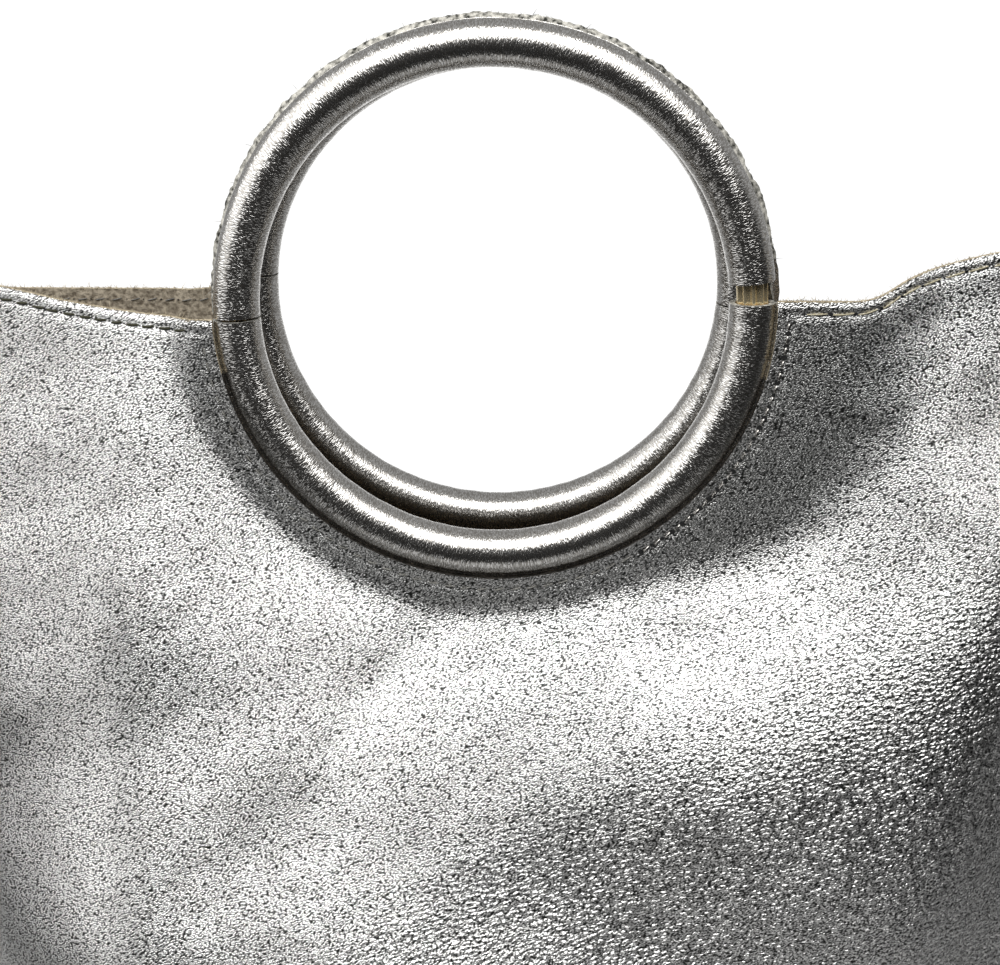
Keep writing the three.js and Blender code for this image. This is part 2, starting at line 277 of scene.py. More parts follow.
# Panels: top edge, folds, column of the sections, and how much wider the held leather is on the right. The
# mesh has columns beside, by and in the scoop, and rows of the seam, scoop, band and wall.
PANELS = {
    "front": dict(
        edge=FRONT_EDGE, folds=FRONT_FOLDS + SHALLOW_FRONT_FOLDS, depth="front_depth", held_right=12,
        columns=(52, 8, 120), rows=(12, 50, 8, 88), round_rows=10, base_rows=12,
    ),
    "back": dict(
        edge=BACK_EDGE, folds=BACK_FOLDS, depth="back_depth", held_right=4,
        columns=(36, 8, 90), rows=(10, 34, 8, 60), round_rows=8, base_rows=10,
    ),
}

# The grid lines of a panel bend round the scoop and are straight again at this many scoop radii. The top row
# starts a hair below the edge, so that each of its points has an angle round the scoop.
STRAIGHT_REACH = 1.9
TOP_ROW_DROP = 1e-9

# Slowest and fastest of the random waves, as shares of their usual rate
RIPPLE_RATES = (0.6, 1.5)

# Step for measuring a slope, and how upright a strand may be before it is built round another axis
SLOPE_STEP = 0.5
UPRIGHT = 0.8

# Camera: the photograph's angle and framing, and the nearest and furthest that it sees in metres
CAMERA_AZIMUTH = 1.35
CAMERA_ELEVATION = 18
CAMERA_DISTANCE = 463
CAMERA_TARGET = (1.5, -16, 210.3)
CAMERA_LENS = 68.4
CAMERA_SENSOR = 36
CAMERA_NEAR = 0.01
CAMERA_FAR = 100


def smoothstep(value, low, high):
    share = np.clip((value - low) / (high - low), 0, 1)
    return share * share * (3 - 2 * share)


def lerp(a, b, share):
    return a + (b - a) * share


def curve(knots, values, at):
    """Smooth curve through the given values at the given knots."""
    knots = np.asarray(knots, float)
    values = np.asarray(values, float)
    last = len(knots) - 1
    at = np.clip(at, knots[0], knots[-1])
    k = np.clip(np.searchsorted(knots, at, side="left") - 1, 0, last - 1)
    before = np.maximum(np.arange(last + 1) - 1, 0)
    after = np.minimum(np.arange(last + 1) + 1, last)
    rates = (values[after] - values[before]) / (knots[after] - knots[before])
    span = knots[k + 1] - knots[k]
    t = (at - knots[k]) / span
    start = (1 + 2 * t) * (1 - t) ** 2 * values[k] + t * (1 - t) ** 2 * span * rates[k]
    finish = t * t * (3 - 2 * t) * values[k + 1] - t * t * (1 - t) * span * rates[k + 1]
    return start + finish


def section(column, height):
    """Value of a column of the cross-sections at a height."""
    index = SECTION_COLUMNS.index(column)
    return curve([row[0] for row in SECTIONS], [row[index] for row in SECTIONS], height)


def ripples(u, v, pitch, seed, stretch=1.0, waves=24):
    """Smooth random waves of about unit height; stretch lengthens them along v."""
    random = np.random.default_rng(seed)
    total = np.zeros(np.broadcast(u, v).shape)
    for _ in range(waves):
        turn = random.uniform(0, math.pi)
        rate = 2 * math.pi / pitch * random.uniform(*RIPPLE_RATES)
        shift = random.uniform(0, 2 * math.pi)
        total += np.sin(rate * (np.cos(turn) * u + np.sin(turn) * v / stretch) + shift)
    return total / math.sqrt(waves / 2)


def edge_height(side, x):
    """Height of a panel's cut top edge."""
    edge = PANELS[side]["edge"]
    return curve([row[0] for row in edge], [row[1] for row in edge], x)


def fold_sum(folds, x, z):
    """Depth of a table of soft folds, each a rounded ridge or valley."""
    total = np.zeros(np.broadcast(x, z).shape)
    for fold_x, fold_z, direction, reach_along, reach_across, depth in folds:
        turn = math.radians(direction)
        along = (x - fold_x) * math.cos(turn) + (z - fold_z) * math.sin(turn)
        across = (z - fold_z) * math.cos(turn) - (x - fold_x) * math.sin(turn)
        total += depth * np.exp(-((along / reach_along) ** 2) - (across / reach_across) ** 2)
    return total


def fold_depth(side, x, z):
    """The folds of a panel, fading out at the side seams and the base."""
    share = np.abs(x) / section("half_width", z)
    fade = (1 - smoothstep(share, FOLD_FADE_SIDE, 1)) * smoothstep(z, BASE_ROUND, FOLD_FADE_HEIGHT)
    return fold_sum(PANELS[side]["folds"], x, z) * fade


def outer_depth(side, x, z):
    """Distance of a panel's outer face from the bag's middle plane."""
    ring = RINGS[side]
    share = np.minimum(np.abs(x) / section("half_width", z), 1)
    flat = CLEAR_GAP / 2 + PANEL_THICKNESS
    body = flat + (section(PANELS[side]["depth"], z) - flat) * (1 - share ** section("fullness", z))
    plane = ring["facing"] * (ring["y"] + (z - ring["z"]) * math.tan(math.radians(ring["lean"])))
    held = plane + PANEL_STANDOFF
    away = np.hypot(x - ring["x"], z - ring["z"])
    toward_right = (x - ring["x"]) / np.maximum(away, 1)
    downward = (ring["z"] - z) / np.maximum(away, 1)
    reach = HELD_RADIUS + PANELS[side]["held_right"] * smoothstep(toward_right, *HELD_RIGHT_TURN)
    past = np.maximum(away - reach, 0)
    start = lerp(SLOPE_START, SLOPE_START_RIGHT, smoothstep(toward_right, *SIDE_TURN))
    run = np.where(past < start, past**2 / (2 * start), past - start / 2)
    fall = lerp(SLOPE_BELOW_RING, SLOPE_LEFT_OF_RING, smoothstep(-toward_right, *SIDE_TURN))
    slope = held + run * fall
    blend = lerp(SIDE_BLEND, LOWER_BLEND, smoothstep(downward, *BELOW_TURN))
    nearer = np.clip(0.5 + (body - slope) / (2 * blend), 0, 1)
    free = lerp(body, slope, nearer) - blend * nearer * (1 - nearer) + fold_depth(side, x, z)
    return lerp(held, free, smoothstep(past, 0, start))


def slopes(side, x, z):
    """Slopes of a panel's outer face along x and z."""
    step = SLOPE_STEP
    slope_x = (outer_depth(side, x + step, z) - outer_depth(side, x - step, z)) / (2 * step)
    slope_z = (outer_depth(side, x, z + step) - outer_depth(side, x, z - step)) / (2 * step)
    return slope_x, slope_z


def inner_depth(side, x, z):
    """Distance of a panel's inner face from the bag's middle plane."""
    slope_x, slope_z = slopes(side, x, z)
    reach = PANEL_THICKNESS * np.sqrt(1 + slope_x**2 + slope_z**2)
    return np.maximum(outer_depth(side, x, z) - reach, CLEAR_GAP / 2)


def scoop_angles(side):
    """Angles at which the scoop's circle meets the panel's top edge, left and right."""
    ring = RINGS[side]
    left = math.pi - math.asin((edge_height(side, -SCOOP_RADIUS) - ring["z"]) / SCOOP_RADIUS)
    right = 2 * math.pi + math.asin((edge_height(side, SCOOP_RADIUS) - ring["z"]) / SCOOP_RADIUS)
    return left, right


def wall_place(side, across, down):
    """x and height of the grid lines of a panel's wall; near the scoop they bend round its circle."""
    ring = RINGS[side]
    top_width = section("half_width", ring["z"])
    edge = edge_height(side, across * top_width)
    z = lerp(edge, BASE_ROUND, down / (ring["z"] - BASE_ROUND))
    x = across * section("half_width", z)
    sideways = across * top_width / SCOOP_RADIUS
    downward = down / SCOOP_RADIUS
    reach = np.maximum(np.abs(sideways), downward)
    share = np.arctan2(downward, -sideways) / math.pi
    left, right = scoop_angles(side)
    turn = lerp(left, right, share)
    beyond = (reach - 1) * SCOOP_RADIUS
    round_x = ring["x"] + SCOOP_RADIUS * np.cos(turn) - beyond * np.cos(share * math.pi)
    corner = edge_height(side, np.sign(across) * SCOOP_RADIUS)
    lift = np.where(np.abs(sideways) > 1, (edge - corner) * np.abs(np.cos(share * math.pi)), 0)
    round_z = ring["z"] + SCOOP_RADIUS * np.sin(turn) - beyond * np.sin(share * math.pi) + lift
    straight = smoothstep(reach, 1, STRAIGHT_REACH)
    return lerp(round_x, x, straight), lerp(round_z, z, straight)


def spread(stops, counts):
    """Values from stop to stop, with a number of equal steps between each two."""
    values = [np.array([stops[0]], float)]
    for start, stop, count in zip(stops, stops[1:], counts):
        values.append(np.linspace(start, stop, count + 1)[1:])
    return np.concatenate(values)


def add_mesh(name, points, faces, materials, face_materials=None, sharp=40):
    """A smooth mesh object from points in millimetres."""
    mesh = bpy.data.meshes.new(name)
    mesh.from_pydata((np.asarray(points) / METRE).tolist(), [], [list(face) for face in faces])
    for material in materials:
        mesh.materials.append(material)
    mesh.polygons.foreach_set("use_smooth", [True] * len(mesh.polygons))
    if face_materials is not None:
        mesh.polygons.foreach_set("material_index", np.asarray(face_materials, int))
    mesh.set_sharp_from_angle(angle=math.radians(sharp))
    mesh.update()
    piece = bpy.data.objects.new(name, mesh)
    bpy.context.scene.collection.objects.link(piece)
    return piece


def own(piece, slot_name, *nodes):
    """Fixes a piece to the bag and, where nodes are named, shows it in their place."""
    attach(piece, "root")
    if nodes:
        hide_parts(*nodes)


def stitched(along, pitch):
    """Share of a groove's depth along a seam, greatest at each stitch."""
    return GROOVE_MEAN + GROOVE_SWING * np.cos(2 * math.pi * along / pitch)


def leather_relief(side, x, z):
    """Waves of the leather, its rolled top edge, and the grooves of the stitches there and at the scoop."""
    ring = RINGS[side]
    away = np.hypot(x - ring["x"], z - ring["z"])
    below_edge = edge_height(side, x) - z
    share = np.abs(x) / section("half_width", z)
    wavy = smoothstep(away, SCOOP_RADIUS + WAVE_START, SCOOP_RADIUS + WAVE_FULL_FROM_SCOOP)
    wavy = wavy * smoothstep(below_edge, WAVE_START, WAVE_FULL_FROM_EDGE)
    wavy = wavy * (1 - smoothstep(share, WAVE_FADE_SIDE, 1)) * smoothstep(z, BASE_ROUND, WAVE_FADE_HEIGHT)
    relief = np.zeros(np.broadcast(x, z).shape)
    for number, (pitch, height) in enumerate(WAVES):
        relief += wavy * height * ripples(x, z, pitch, WAVE_SEED + number)
    turn = np.arctan2(z - ring["z"], x - ring["x"])
    top = np.exp(-(((below_edge - SEAM_INSET) / GROOVE_REACH) ** 2))
    top = top * stitched(x, TOP_LEFT_SEAM["pitch"])
    top = top * smoothstep(away, SCOOP_RADIUS, SCOOP_RADIUS + SEAM_BAND)
    scoop = np.exp(-(((away - SCOOP_RADIUS - SEAM_INSET) / GROOVE_REACH) ** 2))
    scoop = scoop * stitched(turn * SCOOP_RADIUS, SCOOP_SEAM["pitch"])
    scoop = scoop * smoothstep(below_edge, 0, SCOOP_GROOVE_FADE)
    roll = EDGE_ROLL * np.exp(-((np.maximum(below_edge, 0) / EDGE_ROLL_REACH) ** 2))
    return relief - GROOVE_DEPTH * (top + SCOOP_GROOVE_SHARE * scoop) - roll


def panel_grid(side):
    """Outer and inner points of a panel by column and row as [x, depth, z], and the cells in its scoop."""
    ring = RINGS[side]
    panel = PANELS[side]
    half_width = section("half_width", ring["z"])
    scoop = SCOOP_RADIUS / half_width
    band = (SCOOP_RADIUS + SEAM_BAND) / half_width
    beside, by, inside = panel["columns"]
    across = spread([-1, -band, -scoop, scoop, band, 1], [beside, by, inside, by, beside])
    stops = [0, SEAM_BAND, SCOOP_RADIUS, SCOOP_RADIUS + SEAM_BAND, ring["z"] - BASE_ROUND]
    down = spread(stops, panel["rows"])
    column, row = np.meshgrid(across, np.maximum(down, TOP_ROW_DROP), indexing="ij")
    x, z = wall_place(side, column, row)
    relief = leather_relief(side, x, z)
    outer = [np.stack([x, outer_depth(side, x, z) + relief, z], -1)]
    inner = [np.stack([x, inner_depth(side, x, z) + np.maximum(relief, 0), z], -1)]
    foot_x = x[:, -1:]
    foot_outer = outer[0][:, -1:, 1]
    foot_inner = inner[0][:, -1:, 1]
    round_depth = BASE_ROUND * foot_outer / (foot_outer + BASE_ROUND)
    under_outer = foot_outer - round_depth
    under_inner = np.minimum(under_outer, foot_inner)
    turn = np.linspace(0, math.pi / 2, panel["round_rows"] + 1)[None, 1:]
    level = np.ones_like(foot_x)
    round_z = level * BASE_ROUND * (1 - np.sin(turn))
    inside_z = level * (BASE_ROUND - (BASE_ROUND - PANEL_THICKNESS) * np.sin(turn))
    outer.append(np.stack([foot_x + 0 * turn, under_outer + round_depth * np.cos(turn), round_z], -1))
    inner.append(np.stack([foot_x + 0 * turn, lerp(under_inner, foot_inner, np.cos(turn)), inside_z], -1))
    share = np.linspace(0, 1, panel["base_rows"] + 1)[None, 1:]
    seam = CLEAR_GAP / 2 + ring["facing"] * BASE_SEAM_BACK * (1 - across[:, None] ** BASE_SEAM_POWER)
    base_x = foot_x * (1 - BASE_TAPER * share)
    outer.append(np.stack([base_x, lerp(under_outer, seam, share), 0 * base_x], -1))
    inner.append(np.stack([base_x, lerp(under_inner, seam, share), 0 * base_x + PANEL_THICKNESS], -1))
    first = beside + by
    all_rows = sum(panel["rows"]) + panel["round_rows"] + panel["base_rows"]
    in_scoop = np.zeros((len(across) - 1, all_rows), bool)
    in_scoop[first : first + inside, : panel["rows"][0] + panel["rows"][1]] = True
    return np.concatenate(outer, 1), np.concatenate(inner, 1), in_scoop


def panel_piece(side):
    """A leather panel: silver outside, suede inside, with a raw edge all round that is painted dark as shadow
    low in the scoop.
    """
    outer, inner, in_scoop = panel_grid(side)
    ring = RINGS[side]
    columns, rows = outer.shape[:2]
    flip = np.array([1, ring["facing"], 1])
    points = np.concatenate([(outer * flip).reshape(-1, 3), (inner * flip).reshape(-1, 3)])
    half = columns * rows
    i, j = np.nonzero(~in_scoop)
    corners = np.stack([i * rows + j, (i + 1) * rows + j, (i + 1) * rows + j + 1, i * rows + j + 1], 1)
    if ring["facing"] < 0:
        corners = corners[:, ::-1]
    starts = corners.ravel()
    ends = np.roll(corners, -1, 1).ravel()
    sides = set(zip(starts.tolist(), ends.tolist()))
    rim = np.array([(a, b) for a, b in sides if (b, a) not in sides])
    rim = rim[np.lexsort((rim[:, 1], rim[:, 0]))]
    rim_faces = np.stack([rim[:, 1], rim[:, 0], rim[:, 0] + half, rim[:, 1] + half], 1)
    faces = np.concatenate([corners, corners[:, ::-1] + half, rim_faces])
    materials = [panel_leather, suede, raw_edge, scoop_edge_painted_shadow]
    silver, lined, tan, dark = range(len(materials))
    beside = points[rim[:, 0], 0] - ring["x"]
    below = ring["z"] - points[rim[:, 0], 2]
    on_scoop = np.hypot(beside, below) < SCOOP_RADIUS + SCOOP_TOLERANCE
    # Painted shadow: below the tan part the scoop's cut edge is dark, where the sleeve shades it
    rim_kinds = np.where(on_scoop & (below > TAN_RIM_DROP), dark, tan)
    kinds = np.concatenate([np.repeat([silver, lined], len(corners)), rim_kinds])
    used = np.unique(faces)
    number = np.zeros(len(points), int)
    number[used] = np.arange(len(used))
    piece = add_mesh(f"{side}_panel_leather", points[used], number[faces].tolist(), materials, kinds)
    own(piece, "silver_leather", f"{side}_panel")


def ring_places(ring, radial, sideways, degrees):
    """Points in the bag's frame from a distance out from the ring's centre, a distance aside and an angle."""
    turn = np.radians(degrees + ring["roll"])
    lean = math.radians(ring["lean"])
    x = radial * np.cos(turn)
    z = radial * np.sin(turn)
    y = sideways * math.cos(lean) + z * math.sin(lean)
    up = z * math.cos(lean) - sideways * math.sin(lean)
    return np.stack([ring["x"] + x, ring["y"] + y, ring["z"] + up], -1)


def tube_faces(turns, count, looped=False):
    """Faces of a tube with a number of rings of points; a looped tube meets its own start."""
    turn, k = np.meshgrid(np.arange(turns if looped else turns - 1), np.arange(count), indexing="ij")
    here = turn * count
    beyond = (turn + 1) % turns * count
    after = (k + 1) % count
    quads = [here + k, here + after, beyond + after, beyond + k]
    return np.stack([corner.ravel() for corner in quads], 1)


def core_piece(side):
    """A metal ring with ribs along it."""
    degrees = np.linspace(0, 360, CORE_TURNS, endpoint=False)[:, None]
    angle = np.linspace(0, 2 * math.pi, CORE_SIDES, endpoint=False)[None, :]
    radius = CORE_RADIUS - RIB_DEPTH * (1 + np.cos(CORE_RIBS * angle)) / 2 + 0 * degrees
    outward = RING_RADIUS + radius * np.cos(angle)
    points = ring_places(RINGS[side], outward, radius * np.sin(angle), degrees + 0 * angle)
    faces = tube_faces(CORE_TURNS, CORE_SIDES, looped=True)
    piece = add_mesh(f"{side}_ring_metal", points.reshape(-1, 3), faces.tolist(), [gold])
    own(piece, "gold_metal", f"{side}_ring_core")


def fin_angle(side, half):
    """Direction of a sleeve's fin round the tube; the lower one points straight out from the ring."""
    return math.radians(-RINGS[side]["facing"] * FIN_ANGLE) if half == "upper" else 0.0


def fin_reach(side, half, degrees, arc):
    """How far a sleeve's fin stands out, and how many degrees it runs on past the sleeve's first end."""
    first, last = RINGS[side][half]
    if half == "lower":
        from_end = np.minimum(degrees - first, last - degrees)
        return lerp(FLANGE_START, FLANGE_REACH, smoothstep(from_end, 0, FLANGE_RISE)), 0 * degrees
    uneven = 0 * arc
    for number, (pitch, height) in enumerate(FIN_WAVES):
        uneven = uneven + height * ripples(arc, 0 * arc, pitch, SLEEVE_SEEDS[side][half] + number)
    run_on = FIN_RUN_ON * (1 - smoothstep(degrees - first, 0, 2 * FIN_RUN_ON))
    return FIN_REACH + uneven, run_on


def sleeve_section(side, half, degrees, arc):
    """Distance out, distance aside and ring angle of a sleeve's outer points, and where the tube starts."""
    seed = SLEEVE_SEEDS[side][half]
    middle = fin_angle(side, half)
    fin_half = FIN_HALF if half == "upper" else FLANGE_HALF
    reach, run_on = fin_reach(side, half, degrees, arc)
    root = math.asin(fin_half / SLEEVE_OUTER)
    angle = np.linspace(middle + root, middle + 2 * math.pi - root, SLEEVE_SIDES)[None, :]
    pitch, height = WRINKLE_WAVE
    around = (angle - middle) * SLEEVE_OUTER
    wrinkle = height * ripples(arc, around, pitch, seed + 2, stretch=WRINKLE_STRETCH)
    from_back = np.abs(angle - middle - math.pi)
    tube = SLEEVE_OUTER + wrinkle * smoothstep(from_back, math.pi - root, math.pi - root - WRINKLE_FADE)
    pitch, height = LAYER_WAVE
    second = reach + height * ripples(arc, 0 * arc, pitch, seed + 5)
    start = SLEEVE_OUTER * math.cos(root)
    fin_low = start + (reach - start) * FIN_STEPS
    fin_high = (start + (second - start) * FIN_STEPS)[:, ::-1]
    groove = np.minimum(fin_low[:, -1:], fin_high[:, :1]) - FIN_GROOVE
    fin_out = np.concatenate([fin_low, groove, fin_high], 1)
    fin_side = FIN_SIDES * fin_half + 0 * fin_out
    fin_x = fin_out * math.cos(middle) - fin_side * math.sin(middle)
    fin_y = fin_out * math.sin(middle) + fin_side * math.cos(middle)
    outward = np.concatenate([tube * np.cos(angle), fin_x], 1)
    sideways = np.concatenate([tube * np.sin(angle), fin_y], 1)
    turned = np.concatenate([degrees + 0 * angle, degrees - run_on + 0 * fin_out], 1)
    return RING_RADIUS + outward, sideways, turned, middle + root


def add_wrap(piece, arc, count):
    """A map of a sleeve's leather, in millimetres along the ring and round the tube."""
    layer = piece.data.uv_layers.new(name="wrap")
    along = np.concatenate([np.repeat(arc.ravel(), count)] * 2)
    tube = np.linspace(0, WRAP_TUBE, SLEEVE_SIDES)
    fin = np.linspace(WRAP_TUBE, WRAP_WITH_FIN, count - SLEEVE_SIDES)
    wrap = np.tile(np.concatenate([tube, fin]), 2 * len(arc))
    vertex = np.zeros(len(piece.data.loops), int)
    piece.data.loops.foreach_get("vertex_index", vertex)
    layer.data.foreach_set("uv", np.stack([along[vertex], wrap[vertex]], 1).ravel())


def sleeve_piece(side, half):
    """A leather sleeve: a wrinkled tube whose two layers close into a fin with raw edges."""
    ring = RINGS[side]
    first, last = ring[half]
    degrees = np.linspace(first, last, SLEEVE_TURNS)[:, None]
    arc = np.radians(degrees) * RING_RADIUS
    outward, sideways, turned, bore_start = sleeve_section(side, half, degrees, arc)
    count = outward.shape[1]
    bore = np.linspace(0, 2 * math.pi, count, endpoint=False)[None, :] + bore_start
    bore_out = RING_RADIUS + SLEEVE_INNER * np.cos(bore) + 0 * degrees
    bore_side = SLEEVE_INNER * np.sin(bore) + 0 * degrees
    outer = ring_places(ring, outward, sideways, turned)
    inner = ring_places(ring, bore_out, bore_side, degrees + 0 * bore)
    points = np.concatenate([outer.reshape(-1, 3), inner.reshape(-1, 3)])
    bottom = SLEEVE_TURNS * count
    outside = tube_faces(SLEEVE_TURNS, count)[:, ::-1]
    inside = tube_faces(SLEEVE_TURNS, count) + bottom
    k = np.arange(count)
    after = (k + 1) % count
    top = bottom - count
    first_end = np.stack([k, after, after + bottom, k + bottom], 1)
    last_end = np.stack([top + after, top + k, top + k + bottom, top + after + bottom], 1)
    materials = [sleeve_leather, suede, worn_edge]
    silver, lined, raw = range(len(materials))
    past_end = (degrees[:-1] - first < FIN_RUN_ON) & (half == "upper")
    on_fin = ((k >= SLEEVE_SIDES)[None, :] & ~past_end).ravel()
    outside_kinds = np.where(on_fin, raw, silver)
    kinds = np.concatenate([outside_kinds, np.full(len(inside), lined), np.full(2 * count, raw)])
    faces = np.concatenate([outside, inside, first_end, last_end])
    piece = add_mesh(f"{side}_{half}_sleeve_leather", points, faces.tolist(), materials, kinds)
    add_wrap(piece, arc, count)
    own(piece, "silver_leather", f"{side}_{half}_sleeve")


def strands(name, paths, radii, sides, materials):
    """One mesh of closed strands, from paths as arrays of strand, step and xyz and a radius for each step."""
    count, steps = paths.shape[:2]
    along = np.gradient(paths, axis=1)
    along = along / np.linalg.norm(along, axis=2, keepdims=True)
    helper = np.where(np.abs(along[..., 2:]) < UPRIGHT, [0.0, 0.0, 1.0], [1.0, 0.0, 0.0])
    aside = np.cross(along, helper)
    aside = aside / np.linalg.norm(aside, axis=2, keepdims=True)
    third = np.cross(along, aside)
    turn = np.linspace(0, 2 * math.pi, sides, endpoint=False)
    circle = aside[..., None, :] * np.cos(turn)[:, None] + third[..., None, :] * np.sin(turn)[:, None]
    points = paths[..., None, :] + circle * np.asarray(radii)[:, None, None]
    quads = tube_faces(steps, sides)
    size = steps * sides
    faces = []
    for strand in range(count):
        faces += (quads + strand * size).tolist()
        faces.append(list(range(strand * size + sides - 1, strand * size - 1, -1)))
        faces.append(list(range((strand + 1) * size - sides, (strand + 1) * size)))
    return add_mesh(name, points.reshape(-1, 3), faces, materials, sharp=60)


def distances(path):
    """Distance of each point of a path from its start, measured along it."""
    steps = np.linalg.norm(np.diff(path, axis=0), axis=1)
    return np.concatenate([[0], np.cumsum(steps)])


def sample(path, places):
    """Points of a path at distances along it."""
    along = distances(path)
    return np.stack([np.interp(places, along, path[:, k]) for k in range(3)], -1)


def edge_line(side, first, last, face):
    """The seam line under a panel's top edge, on its outer or inner face, and the way that face looks."""
    x = np.linspace(first, last, TOP_SEAM_STEPS)
    z = edge_height(side, x) - SEAM_INSET
    facing = RINGS[side]["facing"]
    if face == "inner":
        return np.stack([x, facing * inner_depth(side, x, z), z], 1), -facing
    return np.stack([x, facing * (outer_depth(side, x, z) - TOP_SEAM_SINK), z], 1), facing


def scoop_line(side, first, last):
    """The seam line round a panel's scoop between two angles, on its outer face, and the way it looks."""
    ring = RINGS[side]
    turn = np.linspace(first, last, SCOOP_SEAM_STEPS)
    x = ring["x"] + (SCOOP_RADIUS + SEAM_INSET) * np.cos(turn)
    z = ring["z"] + (SCOOP_RADIUS + SEAM_INSET) * np.sin(turn)
    depth = outer_depth(side, x, z) - SCOOP_SEAM_SINK
    return np.stack([x, ring["facing"] * depth, z], 1), ring["facing"]


def seam_piece(name, line_and_facing, seed, seam, thread):
    """A row of stitches along a line, and dark discs of painted shade for the needle holes between them."""
    line, facing = line_and_facing
    random = np.random.default_rng(seed)
    pitch = seam["pitch"]
    middles = np.arange(pitch, distances(line)[-1] - pitch / 2, pitch)
    middles = middles + random.uniform(-STITCH_SHIFT, STITCH_SHIFT, len(middles))
    path = sample(line, middles[:, None] + STITCH_PLACES * seam["length"])
    path[..., 1] += facing * STITCH_RISES
    path[..., 2] += STITCH_PLACES * random.uniform(*STITCH_LEAN, (len(middles), 1))
    radii = seam["thread"] * STITCH_TAPER
    own(strands(f"{name}_thread", path, radii, THREAD_SIDES, [thread]), "silver_leather")
    hole_shades = sample(line, middles - pitch / 2)
    turn = np.linspace(0, 2 * math.pi, HOLE_SIDES, endpoint=False)
    wide = seam["hole"] * random.uniform(*HOLE_SIZES, (len(hole_shades), 1))
    level = 0 * wide * turn + facing * HOLE_RISE
    rim = np.stack([wide * np.cos(turn), level, HOLE_FLATNESS * wide * np.sin(turn)], -1)
    rim = rim + hole_shades[:, None, :]
    faces = np.arange(len(hole_shades) * HOLE_SIDES).reshape(-1, HOLE_SIDES)[:, :: -facing]
    own(add_mesh(f"{name}_holes", rim.reshape(-1, 3), faces.tolist(), [needle_hole_shade]), "silver_leather")


def fuzz_piece(name, roots, aims, seed, material):
    """Short loose fibres standing on a raw edge."""
    random = np.random.default_rng(seed)
    aims = aims + random.normal(0, FIBRE_SPREAD, aims.shape)
    aims = aims / np.linalg.norm(aims, axis=1, keepdims=True)
    reach = FIBRE_LENGTH * (FIBRE_SHORTEST + random.gamma(*FIBRE_VARIETY, (len(roots), 1, 1)))
    share = np.linspace(0, 1, len(FIBRE_TAPER))[None, :, None]
    curl = random.normal(0, FIBRE_CURL, (len(roots), 1, 3))
    paths = roots[:, None, :] + reach * (aims[:, None, :] * share + curl * share**2)
    own(strands(name, paths, FIBRE_RADIUS * FIBRE_TAPER, FIBRE_SIDES, [material]), "silver_leather")


def edge_fuzz(side, seed):
    """Fibres along a panel's cut top edge, left and right of the ring."""
    random = np.random.default_rng(seed)
    count = EDGE_FIBRES
    x = random.uniform(EDGE_FIBRE_START, EDGE_FIBRE_END, count) * random.choice([-1, 1], count)
    z = edge_height(side, x)
    depth = lerp(inner_depth(side, x, z), outer_depth(side, x, z), random.uniform(0, 1, count))
    roots = np.stack([x, RINGS[side]["facing"] * depth, z - EDGE_FIBRE_ROOT], 1)
    aims = np.tile([0.0, 0.0, 1.0], (count, 1))
    fuzz_piece(f"{side}_edge_fuzz", roots, aims, seed + 1, edge_fibre)


def fin_fuzz(side, seed):
    """Fibres along the raw fin of an upper sleeve."""
    ring = RINGS[side]
    random = np.random.default_rng(seed)
    degrees = random.uniform(*ring["upper"], FIN_FIBRES)
    aside = random.uniform(-FIN_HALF, FIN_HALF, FIN_FIBRES)
    middle = fin_angle(side, "upper")
    reach = FIN_REACH - FIN_FIBRE_ROOT
    out = reach * math.cos(middle) - aside * math.sin(middle)
    across = reach * math.sin(middle) + aside * math.cos(middle)
    roots = ring_places(ring, RING_RADIUS + out, across, degrees)
    tips = ring_places(ring, RING_RADIUS + out + math.cos(middle), across + math.sin(middle), degrees)
    fuzz_piece(f"{side}_fin_fuzz", roots, tips - roots, seed + 1, worn_edge)


def top_seams(side, number):
    """The rows of stitches under a panel's top edge, on both faces, left and right of the ring."""
    left = (-TOP_SEAM_END, -TOP_SEAM_START)
    right = (TOP_SEAM_START, TOP_SEAM_END)
    rows = [
        ("outer", "left", left, OUTER_LEFT_SEED, TOP_LEFT_SEAM, thread_olive),
        ("outer", "right", right, OUTER_RIGHT_SEED, TOP_RIGHT_SEAM, thread_pale),
        ("inner", "left", left, INNER_SEED, INSIDE_SEAM, thread_dark),
        ("inner", "right", right, INNER_SEED, INSIDE_SEAM, thread_dark),
    ]
    for face, end, (first, last), seed, seam, thread in rows:
        line = edge_line(side, first, last, face)
        seam_piece(f"{side}_{face}_{end}", line, seed + number, seam, thread)


def scoop_seams(side, number):
    """The rows of stitches round a panel's scoop; the right-hand one has thicker, silver stitches."""
    left, right = scoop_angles(side)
    change = math.radians(SCOOP_RIGHT_START)
    line = scoop_line(side, left + SCOOP_SEAM_MARGIN, change)
    seam_piece(f"{side}_scoop", line, SCOOP_SEED + number, SCOOP_SEAM, thread_dark)
    line = scoop_line(side, change, right - SCOOP_SEAM_MARGIN)
    seam_piece(f"{side}_scoop_right", line, SCOOP_RIGHT_SEED + number, SCOOP_RIGHT_SEAM, sleeve_leather)


# Materials

# Grain of the foil leather. The size of a grain is in metres along the crease direction, in depth and across
# it, and for the sleeves in millimetres along and across the ring; heights are in metres.
FINE_GRAIN = dict(
    tilt=25, size=(0.00065, 0.0005, 0.00026), uneven=0.4, crease_reach=0.85, top_reach=0.1, height=0.00006,
)
PEBBLE_GRAIN = dict(
    tilt=18, size=(0.0018, 0.0011, 0.001), uneven=0.6, crease_reach=0.75, top_reach=0.05, height=0.00032,
)
SLEEVE_GRAIN = dict(
    tilt=0, size=(0.32, 1.2, 0.32), uneven=1, crease_reach=0.75, top_reach=0.1, height=0.000048,
)
